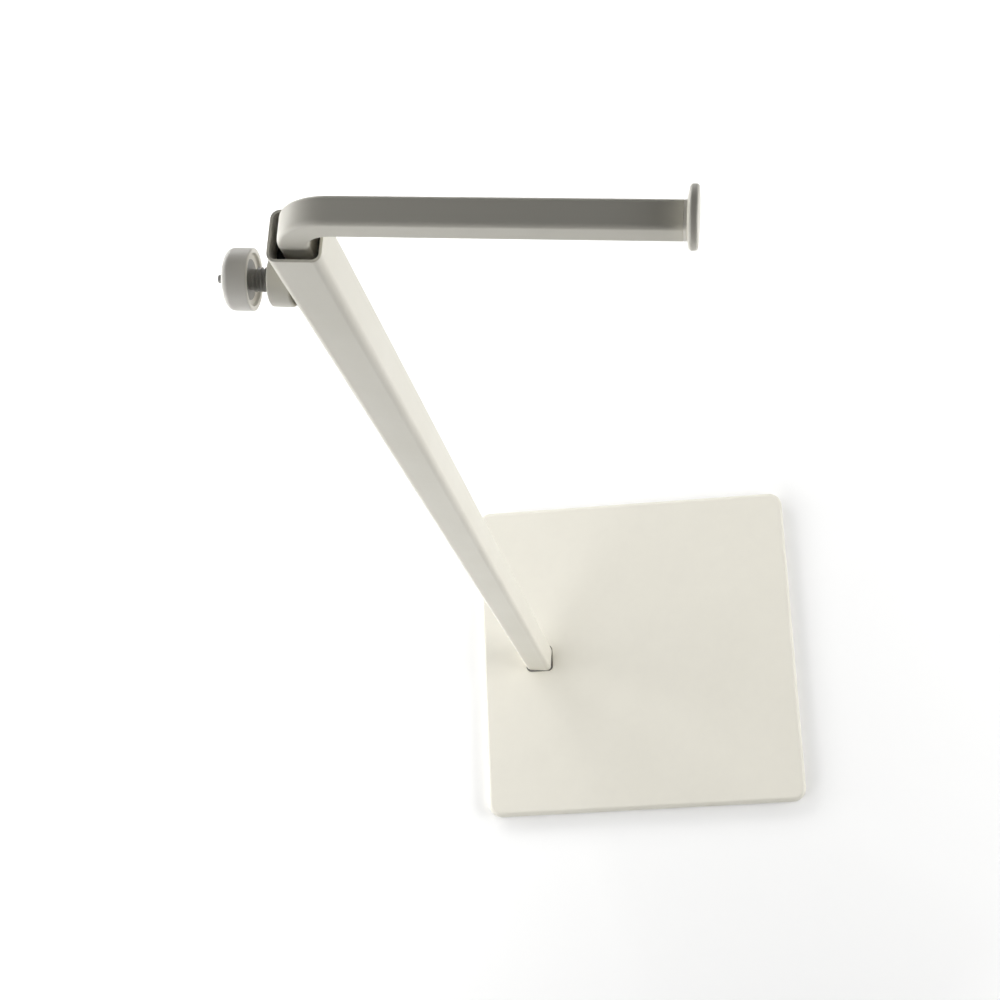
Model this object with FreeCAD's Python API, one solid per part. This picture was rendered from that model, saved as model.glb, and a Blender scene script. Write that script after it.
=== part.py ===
import FreeCAD, Part
import math
import os

# Free-standing paper roll holder: a square weighted base, a square post, and an inner tube that
# slides in the post, bends over and carries the roll. A clamp knob on the post locks the height.
# Millimetres. +Z is up, +X runs along the roll arm. The origin is on the floor under the middle
# of the base. All heights count from the floor.

# --- Driving dimensions -------------------------------------------------------------------------

# Base, from the floor up: rubber sheet, steel weight held by the hem of a drawn steel cover.
BASE_SIDE = 220.0
BASE_CORNER_R = 9.0
BASE_EDGE_R = 3.0
BASE_TWIST = 6.3            # degrees that the post and arm stand turned from square to the base
COVER_WALL = 1.0
HEM_WIDTH = 5.0
HEM_HEIGHT = 1.2            # height of the hem's underside
WEIGHT_THICKNESS = 5.0
WEIGHT_PLAY = 0.4           # gap between the weight and the cover's skirt
SHEET_MARGIN = 0.6          # gap between the rubber sheet and the hem

# Post: square tube that stands in a slightly larger square hole in the cover.
POST_AXIS = (-69.2, -7.6)
POST_SIDE = 17.0
POST_CORNER_R = 3.0
POST_WALL = 1.0
POST_ABOVE_COVER = 706.5
SEAT_SIDE = 18.8
SEAT_CORNER_R = 3.6

# Roll arm: square tube, a leg inside the post, a quarter bend and the arm itself.
ARM_SIDE = 9.5
ARM_CORNER_R = 1.5
ARM_WALL = 1.0
ARM_BEND_INNER_R = 8.5
ARM_TOP_ABOVE_POST = 18.3
ARM_REACH = 115.3           # post axis to the cut end of the arm
LEG_BELOW_RIM = 285.0

# Clamp: boss on the post, stud with knob, nylon pad that bears on the leg.
CLAMP_DEPTH = 33.5          # clamp axis below the rim of the post
BOSS_R = 8.5
BOSS_LENGTH = 7.4
STUD_R = 4.0
STUD_RUNNING_GAP = 0.05
KNOB_R = 10.0
KNOB_LENGTH = 8.7
KNOB_GAP = 5.9              # boss face to knob rim, with the clamp tight
KNOB_EDGE_R = 2.6
KNOB_DOME = 0.8
PIP_R = 1.4
PIP_PROUD = 2.4

# Retaining disc on the arm's end.
DISC_R = 9.25
DISC_RIM = 3.0
DISC_DOME = 0.5
DISC_EDGE_R = 0.7
DISC_RAISE = 2.2             # disc centre above the arm's axis
END_WASHER_THICKNESS = 1.1

# --- Derived sizes ------------------------------------------------------------------------------

WEIGHT_BOTTOM = HEM_HEIGHT + COVER_WALL
WEIGHT_TOP = WEIGHT_BOTTOM + WEIGHT_THICKNESS
COVER_TOP = WEIGHT_TOP + COVER_WALL
RIM_HEIGHT = COVER_TOP + POST_ABOVE_COVER
POST_BORE = POST_SIDE - 2 * POST_WALL
POST_BORE_R = POST_CORNER_R - POST_WALL
ARM_BORE = ARM_SIDE - 2 * ARM_WALL
ARM_BORE_R = ARM_CORNER_R - ARM_WALL
ARM_AXIS_HEIGHT = RIM_HEIGHT + ARM_TOP_ABOVE_POST - ARM_SIDE / 2
ARM_BEND_R = ARM_BEND_INNER_R + ARM_SIDE / 2
LEG_TOP = ARM_AXIS_HEIGHT - ARM_BEND_R
LEG_BOTTOM = RIM_HEIGHT - LEG_BELOW_RIM
CLAMP_HEIGHT = RIM_HEIGHT - CLAMP_DEPTH
BOSS_FACE = POST_SIDE / 2 + BOSS_LENGTH
KNOB_BACK = BOSS_FACE + KNOB_GAP
KNOB_FRONT = KNOB_BACK + KNOB_LENGTH

X_AXIS = FreeCAD.Vector(1, 0, 0)
Y_AXIS = FreeCAD.Vector(0, 1, 0)
Z_AXIS = FreeCAD.Vector(0, 0, 1)
ORIGIN = FreeCAD.Vector(0, 0, 0)


# --- Shape helpers ------------------------------------------------------------------------------

def square_wire(side, corner_r, z=0.0):
    """Rounded square outline around the Z axis, at height z."""
    half = side / 2
    flat = half - corner_r
    dip = corner_r * math.sqrt(0.5)
    edges = []
    for quarter in range(4):
        turn = FreeCAD.Rotation(Z_AXIS, 90 * quarter)
        start = turn.multVec(FreeCAD.Vector(half, -flat, 0))
        end = turn.multVec(FreeCAD.Vector(half, flat, 0))
        middle = turn.multVec(FreeCAD.Vector(flat + dip, flat + dip, 0))
        after = turn.multVec(FreeCAD.Vector(flat, half, 0))
        lift = FreeCAD.Vector(0, 0, z)
        edges.append(Part.LineSegment(start + lift, end + lift).toShape())
        edges.append(Part.Arc(end + lift, middle + lift, after + lift).toShape())
    return Part.Wire(edges)


def square_bar(side, corner_r, z_low, z_high):
    """Rounded square bar around the Z axis between two heights."""
    face = Part.Face(square_wire(side, corner_r, z_low))
    return face.extrude(FreeCAD.Vector(0, 0, z_high - z_low))


def rod(radius, z_low, z_high):
    """Round bar on the Z axis between two heights."""
    return Part.makeCylinder(radius, z_high - z_low, FreeCAD.Vector(0, 0, z_low))


def turned(points):
    """Solid turned round the Z axis from an outline of (radius, height) points."""
    corners = [FreeCAD.Vector(radius, 0, height) for radius, height in points]
    outline = Part.makePolygon(corners + corners[:1])
    return Part.Face(outline).revolve(ORIGIN, Z_AXIS, 360)


def hex_socket(across_flats, z_low, z_high):
    """Six-sided key socket on the Z axis."""
    radius = across_flats / math.sqrt(3)
    corners = []
    for index in range(6):
        angle = math.radians(60 * index)
        corners.append(FreeCAD.Vector(radius * math.cos(angle), radius * math.sin(angle), z_low))
    face = Part.Face(Part.makePolygon(corners + corners[:1]))
    return face.extrude(FreeCAD.Vector(0, 0, z_high - z_low))


def round_edges(shape, radius, wanted):
    """Fillet the edges of a shape that a test picks out."""
    edges = [edge for edge in shape.Edges if wanted(edge)]
    return shape.makeFillet(radius, edges)


def flat_at(edge, height):
    """True for an edge that lies wholly at one height."""
    box = edge.BoundBox
    return abs(box.ZMin - height) < 0.01 and abs(box.ZMax - height) < 0.01


def on_base(shape):
    """Turn a piece of the base, made square to the axes, to the base's own direction."""
    shape.rotate(ORIGIN, Z_AXIS, BASE_TWIST)
    return shape


def on_post(shape):
    """Move a piece made round the Z axis to the post's axis."""
    shape.translate(FreeCAD.Vector(POST_AXIS[0], POST_AXIS[1], 0))
    return shape


def on_clamp(shape):
    """Lay a piece made along +Z from the post's axis along -X, at the height of the clamp."""
    shape.rotate(ORIGIN, Y_AXIS, -90)
    shape.translate(FreeCAD.Vector(POST_AXIS[0], POST_AXIS[1], CLAMP_HEIGHT))
    return shape


def on_arm(shape):
    """Lay a piece made along +Z from the post's axis along +X, at the height of the arm."""
    shape.rotate(ORIGIN, Y_AXIS, 90)
    shape.translate(FreeCAD.Vector(POST_AXIS[0], POST_AXIS[1], ARM_AXIS_HEIGHT))
    return shape


def seat_centre():
    """Post axis as seen along the base's own edges."""
    turn = FreeCAD.Rotation(Z_AXIS, -BASE_TWIST)
    return turn.multVec(FreeCAD.Vector(POST_AXIS[0], POST_AXIS[1], 0))


def at_seat(shape):
    """Move a piece made round the Z axis to the post's seat, square to the base."""
    shape.translate(seat_centre())
    return shape


# --- Base ---------------------------------------------------------------------------------------

BASE_SCREW_HEAD_R = 7.8
BASE_SCREW_HEAD_HEIGHT = 3.8
BASE_SCREW_R = 4.0
BASE_SCREW_LENGTH = 22.0
BASE_SCREW_HOLE_R = 4.4
COUNTERSINK_PLAY = 0.2
KEY_ACROSS_FLATS = 5.0
KEY_DEPTH = 2.6
SHEET_ACCESS_R = 11.0


def base_cover():
    """Drawn cover: rolled top edge, skirt, hem turned in under the weight, square seat hole."""
    outer = square_bar(BASE_SIDE, BASE_CORNER_R, HEM_HEIGHT, COVER_TOP)
    outer = round_edges(outer, BASE_EDGE_R, lambda edge: flat_at(edge, COVER_TOP))
    inner = square_bar(BASE_SIDE - 2 * COVER_WALL, BASE_CORNER_R - COVER_WALL, WEIGHT_BOTTOM, WEIGHT_TOP)
    inner = round_edges(inner, BASE_EDGE_R - COVER_WALL, lambda edge: flat_at(edge, WEIGHT_TOP))
    mouth_side = BASE_SIDE - 2 * COVER_WALL - 2 * HEM_WIDTH
    mouth_r = BASE_CORNER_R - COVER_WALL - HEM_WIDTH
    mouth = square_bar(mouth_side, mouth_r, HEM_HEIGHT - 1, WEIGHT_BOTTOM + 1)
    seat = at_seat(square_bar(SEAT_SIDE, SEAT_CORNER_R, WEIGHT_TOP - 1, COVER_TOP + 1))
    return on_base(outer.cut(inner).cut(mouth).cut(seat))


def base_weight():
    """Steel slab inside the cover, with a countersunk hole for the base screw."""
    side = BASE_SIDE - 2 * COVER_WALL - 2 * WEIGHT_PLAY
    slab = square_bar(side, BASE_CORNER_R - COVER_WALL - WEIGHT_PLAY, WEIGHT_BOTTOM, WEIGHT_TOP)
    slab = round_edges(slab, BASE_EDGE_R - COVER_WALL, lambda edge: flat_at(edge, WEIGHT_TOP))
    hole = at_seat(rod(BASE_SCREW_HOLE_R, WEIGHT_BOTTOM - 1, WEIGHT_TOP + 1))
    sink_r = BASE_SCREW_HEAD_R + COUNTERSINK_PLAY
    sink_top = WEIGHT_BOTTOM + BASE_SCREW_HEAD_HEIGHT
    sink = turned([
        (0, WEIGHT_BOTTOM - 1),
        (sink_r, WEIGHT_BOTTOM - 1),
        (sink_r, WEIGHT_BOTTOM),
        (BASE_SCREW_HOLE_R, sink_top),
        (0, sink_top),
    ])
    return on_base(slab.cut(hole).cut(at_seat(sink)))


def anti_slip_sheet():
    """Rubber sheet under the weight, inside the hem, with an access hole for the base screw."""
    side = BASE_SIDE - 2 * COVER_WALL - 2 * HEM_WIDTH - 2 * SHEET_MARGIN
    sheet = square_bar(side, BASE_CORNER_R - COVER_WALL - HEM_WIDTH, 0, WEIGHT_BOTTOM)
    access = at_seat(rod(SHEET_ACCESS_R, -1, WEIGHT_BOTTOM + 1))
    return on_base(sheet.cut(access))


def base_screw():
    """Countersunk key screw that pulls the post down on to the weight."""
    head_top = WEIGHT_BOTTOM + BASE_SCREW_HEAD_HEIGHT
    screw = turned([
        (0, WEIGHT_BOTTOM),
        (BASE_SCREW_HEAD_R, WEIGHT_BOTTOM),
        (BASE_SCREW_R, head_top),
        (BASE_SCREW_R, WEIGHT_BOTTOM + BASE_SCREW_LENGTH),
        (0, WEIGHT_BOTTOM + BASE_SCREW_LENGTH),
    ])
    key = hex_socket(KEY_ACROSS_FLATS, WEIGHT_BOTTOM - 1, WEIGHT_BOTTOM + KEY_DEPTH)
    return on_post(screw.cut(key))


# --- Post ---------------------------------------------------------------------------------------

BLOCK_PLAY = 0.05
BLOCK_HEIGHT = 24.0
BLOCK_THREAD_R = 4.05
RIVET_R = 1.6
RIVET_HOLE_R = 1.65
RIVET_HEAD_R = 2.7
RIVET_HEAD_HEIGHT = 0.9
RIVET_GRIP = 3.0
RIVET_HEIGHTS = (WEIGHT_TOP + 8.0, WEIGHT_TOP + 18.0)
SPIGOT_R = 5.4
SPIGOT_PLAY = 0.05
BUSH_DEPTH = 8.0
BUSH_LENGTH = 16.0
BUSH_PLAY = 0.05
BUSH_SLIDE_GAP = 0.15


def towards_back(shape):
    """Lay a piece made along +Z along +Y, out of the post's back wall."""
    shape.rotate(ORIGIN, X_AXIS, -90)
    return shape


def rivet_hole(height):
    """Hole for one rivet, through the back wall into the foot block."""
    hole = towards_back(rod(RIVET_HOLE_R, POST_SIDE / 2 - POST_WALL - RIVET_GRIP, POST_SIDE / 2 + 1))
    hole.translate(FreeCAD.Vector(0, 0, height))
    return hole


def post_tube():
    """Square tube with a hole for the clamp boss and two rivet holes low in its back wall."""
    tube = square_bar(POST_SIDE, POST_CORNER_R, WEIGHT_TOP, RIM_HEIGHT)
    bore = square_bar(POST_BORE, POST_BORE_R, WEIGHT_TOP - 1, RIM_HEIGHT + 1)
    tube = tube.cut(bore)
    for height in RIVET_HEIGHTS:
        tube = tube.cut(rivet_hole(height))
    boss_hole = on_clamp(rod(SPIGOT_R + SPIGOT_PLAY, POST_SIDE / 2 - POST_WALL - 1, POST_SIDE / 2 + 1))
    return on_post(tube).cut(boss_hole)


def foot_block():
    """Tapped steel block riveted in the foot of the post."""
    block = square_bar(POST_BORE - 2 * BLOCK_PLAY, POST_BORE_R, WEIGHT_TOP, WEIGHT_TOP + BLOCK_HEIGHT)
    block = block.cut(rod(BLOCK_THREAD_R, WEIGHT_TOP - 1, WEIGHT_TOP + BLOCK_HEIGHT + 1))
    for height in RIVET_HEIGHTS:
        block = block.cut(rivet_hole(height))
    return on_post(block)


def block_rivets():
    """The two rivets that hold the foot block in the post, as one group."""
    wall = POST_SIDE / 2
    rivets = []
    for height in RIVET_HEIGHTS:
        rivet = turned([
            (0, wall - POST_WALL - RIVET_GRIP + 0.1),
            (RIVET_R, wall - POST_WALL - RIVET_GRIP + 0.1),
            (RIVET_R, wall),
            (RIVET_HEAD_R, wall),
            (RIVET_HEAD_R * 0.8, wall + RIVET_HEAD_HEIGHT * 0.7),
            (RIVET_HEAD_R * 0.4, wall + RIVET_HEAD_HEIGHT),
            (0, wall + RIVET_HEAD_HEIGHT),
        ])
        rivet = towards_back(rivet)
        rivet.translate(FreeCAD.Vector(0, 0, height))
        rivets.append(on_post(rivet))
    return Part.makeCompound(rivets)


def guide_bush():
    """Nylon sleeve below the rim that steers the leg in the post."""
    top = RIM_HEIGHT - BUSH_DEPTH
    sleeve = square_bar(POST_BORE - 2 * BUSH_PLAY, POST_BORE_R, top - BUSH_LENGTH, top)
    way = square_bar(ARM_SIDE + 2 * BUSH_SLIDE_GAP, ARM_CORNER_R + BUSH_SLIDE_GAP,
                     top - BUSH_LENGTH - 1, top + 1)
    return on_post(sleeve.cut(way))


# --- Clamp --------------------------------------------------------------------------------------

BOSS_EDGE_R = 0.7
PAD_R = 3.4
PAD_THICKNESS = 1.0
PAD_GAP = 0.05
PAD_PIN_R = 1.2
PAD_PIN_LENGTH = 2.6
PAD_PIN_RUNNING_GAP = 0.05
INSERT_R = 6.4
INSERT_LENGTH = 5.2
INSERT_PLAY = 0.03
KNOB_RECESS_R = 8.3
KNOB_RECESS_DEPTH = 1.3
PIP_HOLE_PLAY = 0.1

PAD_FACE = ARM_SIDE / 2 + PAD_GAP
PAD_BACK = PAD_FACE + PAD_THICKNESS
STUD_TIP = PAD_BACK + PAD_GAP
INSERT_BACK = KNOB_BACK + KNOB_RECESS_DEPTH
INSERT_FRONT = INSERT_BACK + INSERT_LENGTH


def clamp_boss():
    """Tapped steel boss on the post's left face, its spigot through the wall."""
    boss = rod(BOSS_R, POST_SIDE / 2, BOSS_FACE)
    boss = round_edges(boss, BOSS_EDGE_R, lambda edge: flat_at(edge, BOSS_FACE))
    spigot = rod(SPIGOT_R, POST_SIDE / 2 - POST_WALL, POST_SIDE / 2)
    thread = rod(STUD_R + STUD_RUNNING_GAP, POST_SIDE / 2 - POST_WALL - 1, BOSS_FACE + 1)
    return on_clamp(boss.fuse(spigot).removeSplitter().cut(thread))


def clamp_screw():
    """Stud that the knob turns, with a socket for the pad's pin and a turned pip at its end."""
    stud = rod(STUD_R, STUD_TIP, INSERT_FRONT)
    stud = stud.fuse(rod(PIP_R, INSERT_FRONT - 0.5, KNOB_FRONT + KNOB_DOME + PIP_PROUD)).removeSplitter()
    socket = rod(PAD_PIN_R + PAD_PIN_RUNNING_GAP, STUD_TIP - 1, STUD_TIP + PAD_PIN_LENGTH)
    return on_clamp(stud.cut(socket))


def pressure_pad():
    """Nylon pad that bears on the leg; its pin lets the stud turn while the pad stays still."""
    pad = rod(PAD_R, PAD_FACE, PAD_BACK)
    pin = rod(PAD_PIN_R, PAD_BACK, PAD_BACK + PAD_PIN_LENGTH - 0.2)
    return on_clamp(pad.fuse(pin).removeSplitter())


def knob_body():
    """Round moulded knob: domed front, rounded edge, recessed back with a pocket for the insert."""
    dome_sag = KNOB_R - KNOB_EDGE_R
    body = rod(KNOB_R, KNOB_BACK, KNOB_FRONT)
    body = round_edges(body, KNOB_EDGE_R, lambda edge: flat_at(edge, KNOB_FRONT))
    dome_r = (dome_sag ** 2 + KNOB_DOME ** 2) / (2 * KNOB_DOME)
    ball = Part.makeSphere(dome_r, FreeCAD.Vector(0, 0, KNOB_FRONT + KNOB_DOME - dome_r))
    cap = ball.common(rod(dome_sag, KNOB_FRONT - 0.2, KNOB_FRONT + KNOB_DOME + 1))
    body = body.fuse(cap).removeSplitter()
    recess = rod(KNOB_RECESS_R, KNOB_BACK - 1, INSERT_BACK)
    pocket = rod(INSERT_R + INSERT_PLAY, INSERT_BACK - 1, INSERT_FRONT)
    pip_hole = rod(PIP_R + PIP_HOLE_PLAY, INSERT_FRONT - 1, KNOB_FRONT + KNOB_DOME + 1)
    return on_clamp(body.cut(recess).cut(pocket).cut(pip_hole))


def knob_insert():
    """Steel insert moulded into the knob, pressed on the stud."""
    insert = rod(INSERT_R, INSERT_BACK, INSERT_FRONT)
    return on_clamp(insert.cut(rod(STUD_R + INSERT_PLAY, INSERT_BACK - 1, INSERT_FRONT + 1)))


# --- Roll arm -----------------------------------------------------------------------------------

SLIDER_GAP = 0.2
SLIDER_LENGTH = 22.0
SLIDER_SPIGOT = 14.0
SLIDER_SPIGOT_PLAY = 0.05
SLIDER_SCREW_R = 1.75
SLIDER_SCREW_HOLE_R = 1.8
SLIDER_SCREW_LENGTH = 26.0
SLIDER_SCREW_HEAD_R = 3.4
SLIDER_SCREW_HEAD_HEIGHT = 2.2
SLIDER_SINK_R = 3.8
SLIDER_SINK_DEPTH = 3.0
SLOT_WIDTH = 0.9
END_PLUG_LENGTH = 14.0
END_PLUG_PLAY = 0.03
END_THREAD_R = 2.5
END_THREAD_PLAY = 0.05
END_STUD_LENGTH = 11.0


def arm_tube():
    """Leg, quarter bend and arm of one hollow square tube."""
    solids = []
    for side, corner_r in ((ARM_SIDE, ARM_CORNER_R), (ARM_BORE, ARM_BORE_R)):
        leg = square_bar(side, corner_r, LEG_BOTTOM, LEG_TOP)
        section = Part.Face(square_wire(side, corner_r, LEG_TOP))
        bend = section.revolve(FreeCAD.Vector(ARM_BEND_R, 0, LEG_TOP), Y_AXIS, 90)
        arm = square_bar(side, corner_r, ARM_BEND_R, ARM_REACH)
        arm.rotate(ORIGIN, Y_AXIS, 90)
        arm.translate(FreeCAD.Vector(0, 0, ARM_AXIS_HEIGHT))
        solids.append(leg.fuse([bend, arm]).removeSplitter())
    return on_post(solids[0].cut(solids[1]))


def leg_slider():
    """Nylon plug on the foot of the leg that slides in the post and stops at the clamp stud."""
    slider = square_bar(POST_BORE - 2 * SLIDER_GAP, POST_BORE_R, LEG_BOTTOM - SLIDER_LENGTH, LEG_BOTTOM)
    spigot_side = ARM_BORE - 2 * SLIDER_SPIGOT_PLAY
    spigot = square_bar(spigot_side, ARM_BORE_R, LEG_BOTTOM - 1, LEG_BOTTOM + SLIDER_SPIGOT)
    slider = slider.fuse(spigot).removeSplitter()
    foot = LEG_BOTTOM - SLIDER_LENGTH
    slider = slider.cut(rod(SLIDER_SCREW_HOLE_R, foot - 1, foot + SLIDER_SINK_DEPTH + SLIDER_SCREW_LENGTH))
    return on_post(slider.cut(rod(SLIDER_SINK_R, foot - 1, foot + SLIDER_SINK_DEPTH)))


def slider_screw():
    """Self-tapping screw that spreads the slider's spigot in the leg."""
    seat = LEG_BOTTOM - SLIDER_LENGTH + SLIDER_SINK_DEPTH
    screw = turned([
        (0, seat - SLIDER_SCREW_HEAD_HEIGHT),
        (SLIDER_SCREW_HEAD_R * 0.75, seat - SLIDER_SCREW_HEAD_HEIGHT),
        (SLIDER_SCREW_HEAD_R, seat - SLIDER_SCREW_HEAD_HEIGHT * 0.5),
        (SLIDER_SCREW_HEAD_R, seat),
        (SLIDER_SCREW_R, seat),
        (SLIDER_SCREW_R, seat + SLIDER_SCREW_LENGTH - 3),
        (0, seat + SLIDER_SCREW_LENGTH - 1),
    ])
    slot_length = 3 * SLIDER_SCREW_HEAD_R
    slot = Part.makeBox(slot_length, SLOT_WIDTH, 1.0,
                        FreeCAD.Vector(-slot_length / 2, -SLOT_WIDTH / 2, seat - SLIDER_SCREW_HEAD_HEIGHT - 0.2))
    return on_post(screw.cut(slot))


def end_insert():
    """Tapped plug in the arm's cut end."""
    plug = square_bar(ARM_BORE - 2 * END_PLUG_PLAY, ARM_BORE_R, ARM_REACH - END_PLUG_LENGTH, ARM_REACH)
    thread = rod(END_THREAD_R + END_THREAD_PLAY, ARM_REACH - END_PLUG_LENGTH - 1, ARM_REACH + 1)
    return on_arm(plug.cut(thread))


def end_washer():
    """Square nylon washer between the arm's cut end and the disc."""
    washer = square_bar(ARM_SIDE, ARM_CORNER_R, ARM_REACH, ARM_REACH + END_WASHER_THICKNESS)
    thread = rod(END_THREAD_R + END_THREAD_PLAY, ARM_REACH - 1, ARM_REACH + END_WASHER_THICKNESS + 1)
    return on_arm(washer.cut(thread))


def end_disc():
    """Retaining disc, set a little high on the arm, its inner face domed, with its own stud."""
    face = ARM_REACH + END_WASHER_THICKNESS
    rim_back = face + DISC_DOME
    rim_front = rim_back + DISC_RIM
    disc = rod(DISC_R, rim_back, rim_front)
    disc = round_edges(disc, DISC_EDGE_R, lambda edge: flat_at(edge, rim_front) or flat_at(edge, rim_back))
    cone_r = DISC_R - DISC_EDGE_R
    cone = Part.makeCone(ARM_SIDE * 0.62, cone_r, DISC_DOME + 0.01, FreeCAD.Vector(0, 0, face))
    disc = on_arm(disc.fuse(cone))
    disc.translate(FreeCAD.Vector(0, 0, DISC_RAISE))
    stud = on_arm(rod(END_THREAD_R, face - END_STUD_LENGTH, rim_back))
    return disc.fuse(stud).removeSplitter()


# --- Export -------------------------------------------------------------------------------------

PIECES = (
    base_cover,
    base_weight,
    anti_slip_sheet,
    base_screw,
    post_tube,
    foot_block,
    block_rivets,
    guide_bush,
    clamp_boss,
    clamp_screw,
    pressure_pad,
    knob_body,
    knob_insert,
    arm_tube,
    leg_slider,
    slider_screw,
    end_insert,
    end_washer,
    end_disc,
)


def main():
    os.makedirs("parts", exist_ok=True)
    for piece in PIECES:
        shape = piece()
        assert shape.isValid(), piece.__name__
        shape.exportStep("parts/" + piece.__name__ + ".step")
        print(piece.__name__, round(shape.Volume), len(shape.Solids))


main()
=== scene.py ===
"""Looks of a free-standing paper roll holder, built around its fixed CAD frame.

A weighted square base carries a slim square post. An inner square tube slides in the post, bends
over and ends in a round retaining disc; a round knob on a threaded stud clamps it. Everything is
in metres, +Z up, +X along the roll arm, with the origin on the floor under the middle of the base.
"""

import logging
import math
from contextlib import contextmanager
from dataclasses import dataclass, field
from enum import Enum
from typing import Callable, Iterator, Sequence

import bmesh
import bpy
from mathutils import Matrix, Vector


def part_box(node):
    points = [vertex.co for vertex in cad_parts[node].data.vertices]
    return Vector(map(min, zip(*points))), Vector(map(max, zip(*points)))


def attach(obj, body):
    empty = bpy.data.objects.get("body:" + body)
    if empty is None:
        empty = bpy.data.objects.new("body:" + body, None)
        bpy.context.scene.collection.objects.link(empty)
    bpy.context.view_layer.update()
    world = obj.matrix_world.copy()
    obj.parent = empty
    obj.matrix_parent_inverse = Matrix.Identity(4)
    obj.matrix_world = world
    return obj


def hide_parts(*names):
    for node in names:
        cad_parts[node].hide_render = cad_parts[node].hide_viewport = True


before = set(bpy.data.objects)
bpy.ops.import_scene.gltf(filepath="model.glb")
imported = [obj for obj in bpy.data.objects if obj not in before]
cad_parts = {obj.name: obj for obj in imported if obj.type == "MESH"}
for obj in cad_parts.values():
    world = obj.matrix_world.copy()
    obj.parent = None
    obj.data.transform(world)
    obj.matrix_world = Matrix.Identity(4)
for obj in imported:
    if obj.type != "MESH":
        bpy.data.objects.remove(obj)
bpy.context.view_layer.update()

LOG = logging.getLogger("roll_holder")
MM = 0.001
CLOSE = 1e-5
ACROSS = 0.1
FACING = 0.9
RIGHT = Vector((1.0, 0.0, 0.0))
BACK = Vector((0.0, 1.0, 0.0))
UP = Vector((0.0, 0.0, 1.0))

Profile = list[tuple[float, float]]


class Pick(Enum):
    """Kinds of mesh element that an edit can select."""

    VERT = "VERT"
    EDGE = "EDGE"
    FACE = "FACE"


class Body(str, Enum):
    """Moving bodies of the CAD frame."""

    STAND = "stand"
    ARM = "arm"
    KNOB = "knob"


class Slot(str, Enum):
    """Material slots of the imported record."""

    POWDER_COAT = "powder_coat"
    KNOB_PLASTIC = "knob_plastic"
    WHITE_NYLON = "white_nylon"
    BLACK_STEEL = "black_steel"
    RUBBER_SHEET = "rubber_sheet"


# --- Bench: the modelling operations ---------------------------------------------------------------


def clear_selection() -> None:
    """Deselect every object, so that an operator acts on one piece only."""
    bpy.ops.object.select_all(action="DESELECT")


def make_active(piece: bpy.types.Object) -> None:
    """Select one piece alone and make it the active one."""
    clear_selection()
    piece.select_set(True)
    bpy.context.view_layer.objects.active = piece


def adopt(name: str) -> bpy.types.Object:
    """Name the primitive just added and bake its place into its mesh.

    Args:
        name: The piece's name.

    Returns:
        The new object, at the origin, unturned and unscaled.
    """
    piece = bpy.context.active_object
    piece.name = name
    piece.data.name = name
    bpy.ops.object.transform_apply(location=True, rotation=True, scale=True)
    return piece


@contextmanager
def editing(piece: bpy.types.Object, kind: Pick = Pick.VERT) -> Iterator[bpy.types.Object]:
    """Open a piece in edit mode with everything selected, and close it afterwards.

    Args:
        piece: The piece to edit.
        kind: The kind of element that operators select.

    Returns:
        A context in which bpy.ops.mesh operators act on the piece.
    """
    make_active(piece)
    bpy.ops.object.mode_set(mode="EDIT")
    bpy.ops.mesh.select_mode(type=kind.value)
    bpy.ops.mesh.select_all(action="SELECT")
    try:
        yield piece
    finally:
        bpy.ops.object.mode_set(mode="OBJECT")


def pick(piece: bpy.types.Object, kind: Pick, test: Callable[[Vector, Vector], bool]) -> int:
    """Select elements of the piece in edit mode by their place and direction.

    Args:
        piece: The piece that is open in edit mode.
        kind: Vertices, edges or faces.
        test: Takes an element's middle and its direction (an edge's run, otherwise the normal).

    Returns:
        How many elements were selected.
    """
    bpy.ops.mesh.select_mode(type=kind.value)
    bpy.ops.mesh.select_all(action="DESELECT")
    mesh = bmesh.from_edit_mesh(piece.data)
    mesh.normal_update()
    chosen = 0
    if kind is Pick.VERT:
        elements = [(vert, vert.co, vert.normal) for vert in mesh.verts]
    elif kind is Pick.EDGE:
        elements = [
            (edge, (edge.verts[0].co + edge.verts[1].co) / 2, (edge.verts[1].co - edge.verts[0].co).normalized())
            for edge in mesh.edges
        ]
    else:
        elements = [(face, face.calc_center_median(), face.normal) for face in mesh.faces]
    for element, middle, direction in elements:
        if test(middle, direction):
            element.select_set(True)
            chosen += 1
    mesh.select_flush_mode()
    bmesh.update_edit_mesh(piece.data)
    return chosen


def extrude(step: Vector) -> None:
    """Extrude what is selected by a step."""
    bpy.ops.mesh.extrude_region_move(TRANSFORM_OT_translate={"value": tuple(step)})


def scale_about(centre: Vector, factors: Sequence[float]) -> None:
    """Scale what is selected about a point."""
    bpy.ops.transform.resize(value=tuple(factors), center_override=tuple(centre))


def apply_modifier(piece: bpy.types.Object, kind: str, **settings: object) -> None:
    """Add a modifier with its settings to a piece and apply it.

    Args:
        piece: The piece to change.
        kind: The modifier's type, such as "SOLIDIFY".
        **settings: Values of the modifier's own properties.
    """
    make_active(piece)
    modifier = piece.modifiers.new(kind.title(), kind)
    for name, value in settings.items():
        setattr(modifier, name, value)
    bpy.ops.object.modifier_apply(modifier=modifier.name)


def thicken(piece: bpy.types.Object, wall: float, outside: "Finish", inside: "Finish") -> None:
    """Give an open shell a wall, inwards from its outer face, and dress both faces.

    Args:
        piece: The open shell, its faces outwards.
        wall: Wall thickness.
        outside: Finish of the outer face and the rims.
        inside: Finish of the inner face.
    """
    piece.data.materials.append(outside.material())
    piece.data.materials.append(inside.material())
    apply_modifier(
        piece,
        "SOLIDIFY",
        thickness=wall,
        offset=-1.0,
        use_even_offset=True,
        use_rim=True,
        material_offset=1,
    )


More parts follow.
